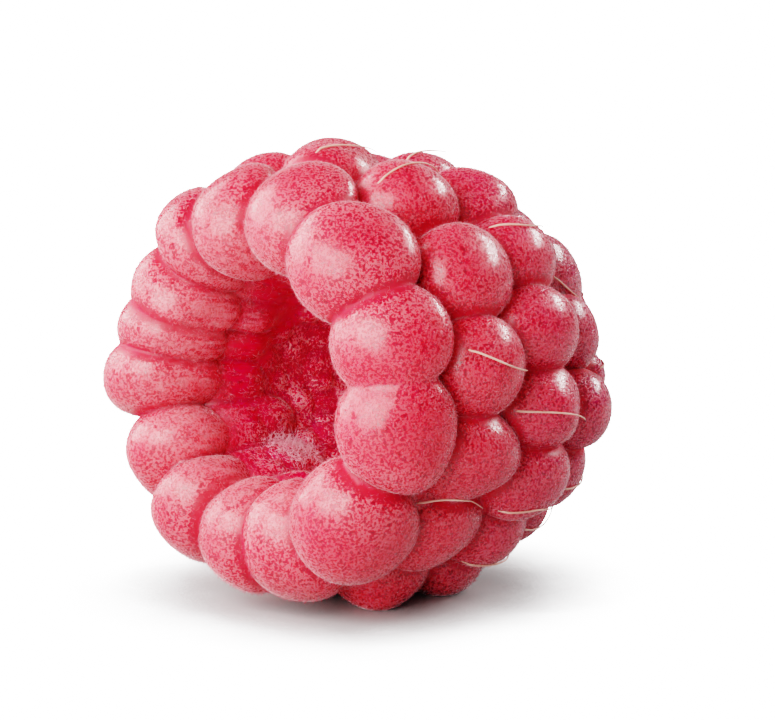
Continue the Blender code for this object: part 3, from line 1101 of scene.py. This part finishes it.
def tubes(paths, radii, sides):
    """Rings r (cos a u + sin a v) round each path's points, u and v square to the path, with end points."""
    run = unit(np.gradient(paths, axis=1))
    u = unit(np.cross(run, np.broadcast_to(OFF_EVERY_PATH, run.shape)))
    v = np.cross(run, u)
    turn = np.linspace(0, 2 * math.pi, sides, endpoint=False)[:, None]
    offset = np.cos(turn) * u[:, :, None, :] + np.sin(turn) * v[:, :, None, :]
    rings = paths[:, :, None, :] + radii[:, :, None, None] * offset
    count, steps = paths.shape[:2]
    start, end = paths[:, 0] - run[:, 0] * radii[:, :1], paths[:, -1] + run[:, -1] * radii[:, -1:]
    points = np.concatenate([rings.reshape(count, -1, 3), np.stack([start, end], axis=1)], axis=1)
    column = np.arange(sides)
    beside = (column + 1) % sides
    ring = (np.arange(steps - 1) * sides)[:, None]
    a, b, c, d = ring + column, ring + beside, ring + sides + beside, ring + sides + column
    last, start, end = (steps - 1) * sides, steps * sides, steps * sides + 1
    faces = [np.stack([a, b, c], axis=-1).reshape(-1, 3), np.stack([a, c, d], axis=-1).reshape(-1, 3)]
    faces.append(np.stack([np.full(sides, start), beside, column], axis=-1))
    faces.append(np.stack([np.full(sides, end), last + column, last + beside], axis=-1))
    faces = np.concatenate(faces)
    base = np.arange(count)[:, None, None] * points.shape[1]
    return points.reshape(-1, 3), (faces + base).reshape(-1, 3)


def add_tubes(name, paths, radius, taper, sides, material):
    """A piece of tubes, each thinning evenly to this share of its radius."""
    radii = radius * np.linspace(1, taper, paths.shape[1]) * np.ones((len(paths), 1))
    points, faces = tubes(paths, radii, sides)
    add_piece(name, points, faces, material)
    print(name, len(paths), "tubes,", len(faces), "triangles")


print("ready to sweep")

# %% Where the styles lie
STYLE_ROWS = (1, 4)
STYLE_SHARE = 0.75
STYLE_STEPS, STYLE_SIDES = 18, 6
STYLE_RADIUS, STYLE_TAPER = 0.06, 0.45
STYLE_CLEARANCE = 0.06
STRETCH_STEPS = 60

# In half widths of the drupelet: where a style starts and how far it reaches back, where it lies across, and
# how it drifts and curls. Its free end's lift is in mm.
STYLE_RANGES = {
    "start": (0.55, 0.85),
    "reach": (0.9, 1.6),
    "shift": (-0.75, 0.75),
    "drift": (-0.35, 0.35),
    "curl": (-0.25, 0.25),
    "lift": (0.0, 0.35),
}

skin_tree = BVHTree.FromPolygons(skin_points.tolist(), corners.tolist())


def skin_height(starts, directions):
    """How far each start is from the skin along its direction, in mm, by casting a ray."""
    rays = zip(starts.tolist(), directions.tolist())
    found = [skin_tree.ray_cast(Vector(start), Vector(direction))[3] for start, direction in rays]
    return np.array([np.nan if far is None else far for far in found])


def style_paths(rng):
    """Paths over the fronts of drupelets, from the rim side towards the tip. Each point's height x is the
    skin's own, found by a ray. Then the thread is pulled taut, over and over again, by
    x = max(x, (x before + x after) / 2)."""
    outer = np.flatnonzero((sites["row"] >= STYLE_ROWS[0]) & (sites["row"] <= STYLE_ROWS[1]))
    outer = outer[rng.random(len(outer)) < STYLE_SHARE]
    count, t = len(outer), np.linspace(0, 1, STYLE_STEPS)
    draw = {key: rng.uniform(*span, (count, 1)) for key, span in STYLE_RANGES.items()}
    site = {field: values[outer, None] for field, values in sites.items()}
    z = site["along"] * (draw["start"] - draw["reach"] * t)
    y = site["across"] * (draw["shift"] + draw["drift"] * t + draw["curl"] * np.sin(math.pi * t))
    above = 2.0 * site["through"] + 0 * z
    to_world = np.transpose(turns[outer], (0, 2, 1))
    starts = np.stack([above, y, z], axis=-1) @ to_world + places[outer, None, :]
    inward = np.broadcast_to(-turns[outer][:, None, :, 0], starts.shape)
    depth = skin_height(starts.reshape(-1, 3), inward.reshape(-1, 3)).reshape(above.shape)
    x = above - depth
    whole = ~np.isnan(x).any(axis=1)
    x = x + STYLE_CLEARANCE
    for _ in range(STRETCH_STEPS):
        x[:, 1:-1] = np.maximum(x[:, 1:-1], (x[:, :-2] + x[:, 2:]) / 2)
    x[:, :1] -= 2 * STYLE_CLEARANCE
    local = np.stack([x + draw["lift"] * t**3, y, z], axis=-1)
    return (local @ to_world + places[outer, None, :])[whole]


paths = style_paths(np.random.default_rng(SEED + 4))
add_tubes("dried_styles", paths, STYLE_RADIUS, STYLE_TAPER, STYLE_SIDES, dried)

# %% [markdown]
# ## The tuft in the hollow
#
# Where the berry tore from its plug, a few pale fibres and a scrap of white pith stay behind, low on the
# hollow's wall. The place is found by looking from the berry's axis outwards until the skin is met. From
# there the fibres fan out over the wall and curl away from it.

# %% Tuft of fibres
TUFT_ANGLE_DEG, TUFT_SETBACK = -134.0, 4.2
TUFT_COUNT, TUFT_SPREAD = 900, 0.65
TUFT_STEPS, TUFT_SIDES = 6, 4
TUFT_LENGTHS = (0.10, 0.35)
TUFT_RADIUS, TUFT_TAPER = 0.011, 0.3
TUFT_SUNK = 0.05
TUFT_RISE, TUFT_CURL = 0.6, 0.6


def on_hollow_wall(angle_deg, setback):
    """The point of the hollow's wall that is seen from the axis at this angle and setback, and its normal."""
    angle = math.radians(angle_deg)
    outward = berry_turn @ np.array([math.cos(angle), math.sin(angle), 0.0])
    origin = rest + berry_turn @ np.array([0.0, 0.0, -setback])
    hit, normal, _, _ = skin_tree.ray_cast(Vector(origin), Vector(outward))
    return np.array(hit), np.array(normal)


def tuft_paths(root, normal, rng):
    """Fibres from spots round the root: spot + length * (t d + t^2 c), d off the wall and c a random curl."""
    count = TUFT_COUNT
    sideways = rng.normal(size=(count, 3))
    flat = sideways - (sideways @ normal)[:, None] * normal
    spots = root + TUFT_SPREAD * flat - TUFT_SUNK * normal
    direction = unit(unit(rng.normal(size=(count, 3))) + TUFT_RISE * normal)
    curl = rng.normal(0, TUFT_CURL, (count, 3))
    t = np.linspace(0, 1, TUFT_STEPS)[:, None]
    length = rng.uniform(*TUFT_LENGTHS, (count, 1, 1))
    return spots[:, None, :] + length * (t * direction[:, None, :] + t * t * curl[:, None, :])


tuft_root, tuft_normal = on_hollow_wall(TUFT_ANGLE_DEG, TUFT_SETBACK)
paths = tuft_paths(tuft_root, tuft_normal, np.random.default_rng(SEED + 5))
add_tubes("hollow_tuft", paths, TUFT_RADIUS, TUFT_TAPER, TUFT_SIDES, pith)
print("tuft root, mm:", tuft_root.round(2))

# %% [markdown]
# ## Light, floor and camera
#
# The berry lies on a plain white floor under three soft lights. The key, in front of the opening and a
# little above, shapes the drupelets. A large one at the left lays a broad pale patch on the left of each,
# and a narrow strip behind puts a glint on their far shoulders. The world lights evenly and shows the camera
# a white about as bright as the floor's, so that the two meet without a line. A film-like tone curve keeps
# the brightest reds from burning out.

# %% Lights
def around(azimuth_deg, elevation_deg, distance):
    """A point round the berry's middle. Azimuth 0 is in front of the opening and 90 to its right."""
    azimuth, elevation = math.radians(azimuth_deg), math.radians(elevation_deg)
    flat = math.cos(elevation)
    direction = Vector((math.sin(azimuth) * flat, -math.cos(azimuth) * flat, math.sin(elevation)))
    return direction * distance + centre


def hang_round(name, data, azimuth_deg, elevation_deg, distance):
    """An object for a lamp or a lens, round the berry's middle and looking at it."""
    made = bpy.data.objects.new(name, data)
    made.location = around(azimuth_deg, elevation_deg, distance)
    made.rotation_euler = (centre - made.location).to_track_quat("-Z", "Y").to_euler()
    bpy.context.scene.collection.objects.link(made)
    return made


def soft_light(name, azimuth_deg, elevation_deg, distance, width, height, watts):
    """A rectangle of light that the camera doesn't see."""
    lamp = bpy.data.lights.new(name, "AREA")
    lamp.shape = "RECTANGLE"
    lamp.size, lamp.size_y = width, height
    lamp.energy = watts
    hang_round(name, lamp, azimuth_deg, elevation_deg, distance).visible_camera = False


centre = (cad_low + cad_high) / 2
soft_light("key", 5, 26, 0.42, 0.46, 0.36, 4.8)
soft_light("side", -70, 24, 0.50, 0.56, 0.38, 4.4)
soft_light("rim", 172, 28, 0.50, 0.30, 0.10, 2.3)

# %% Floor and world
FLOOR_RADIUS = 3.0
FLOOR_SIDES = 96
FLOOR_GREY = (0.40, 0.40, 0.40, 1)
FLOOR_WHITE = 16.0
SHADOW_REACH, SHADOW_POWER = 0.006, 5.5
WORLD_LIGHT, WORLD_WHITE = 0.17, 17.0
WHITE = (1, 1, 1, 1)


def camera_sees(tree):
    """1 where the camera looks straight at a thing, and 0 for the light it sends elsewhere."""
    return node(tree, "ShaderNodeLightPath").outputs["Is Camera Ray"]


def floor_material():
    """White for the camera, darker under and round the berry in a painted contact shadow: FLOOR_WHITE * open
    sky ^ power.
    """
    material, tree, shader = new_material("floor")
    # Painted shadow: the floor's glow for the camera darkens where ambient occlusion finds the berry near.
    sky = node(tree, "ShaderNodeAmbientOcclusion", {"Distance": SHADOW_REACH}, samples=8).outputs["AO"]
    white_with_painted_shadow = times(tree, FLOOR_WHITE, calculate(tree, "POWER", sky, SHADOW_POWER))
    finish = {
        "Base Color": FLOOR_GREY,
        "Roughness": 0.6,
        "Emission Color": WHITE,
        "Emission Strength": times(tree, white_with_painted_shadow, camera_sees(tree)),
    }
    set_inputs(tree, shader, finish)
    return material


turn = np.linspace(0, 2 * math.pi, FLOOR_SIDES, endpoint=False)
ring = FLOOR_RADIUS * np.stack([np.cos(turn), np.sin(turn), 0 * turn], axis=1)
floor = new_mesh("floor", ring, [list(range(FLOOR_SIDES))])
floor.data.materials.append(floor_material())

world = bpy.data.worlds.new("studio")
bpy.context.scene.world = world
world.use_nodes = True
tree = world.node_tree
strength = ramp(tree, camera_sees(tree), 0.0, 1.0, WORLD_LIGHT, WORLD_WHITE)
set_inputs(tree, tree.nodes["Background"], {"Color": WHITE, "Strength": strength})
bpy.context.scene.view_settings.view_transform = "Filmic"
bpy.context.scene.view_settings.look = "High Contrast"
print("floor radius, m:", FLOOR_RADIUS)

# %% Camera
CAMERA_AZIMUTH, CAMERA_ELEVATION = 45.0, 11.15
CAMERA_DISTANCE = 0.30
FRAME_WIDTH = 0.0366

lens = bpy.data.cameras.new("camera")
lens.lens = lens.sensor_width * CAMERA_DISTANCE / FRAME_WIDTH
lens.clip_start = 0.01
camera = hang_round("camera", lens, CAMERA_AZIMUTH, CAMERA_ELEVATION, CAMERA_DISTANCE)
bpy.context.scene.camera = camera
print("lens, mm:", round(lens.lens, 1))
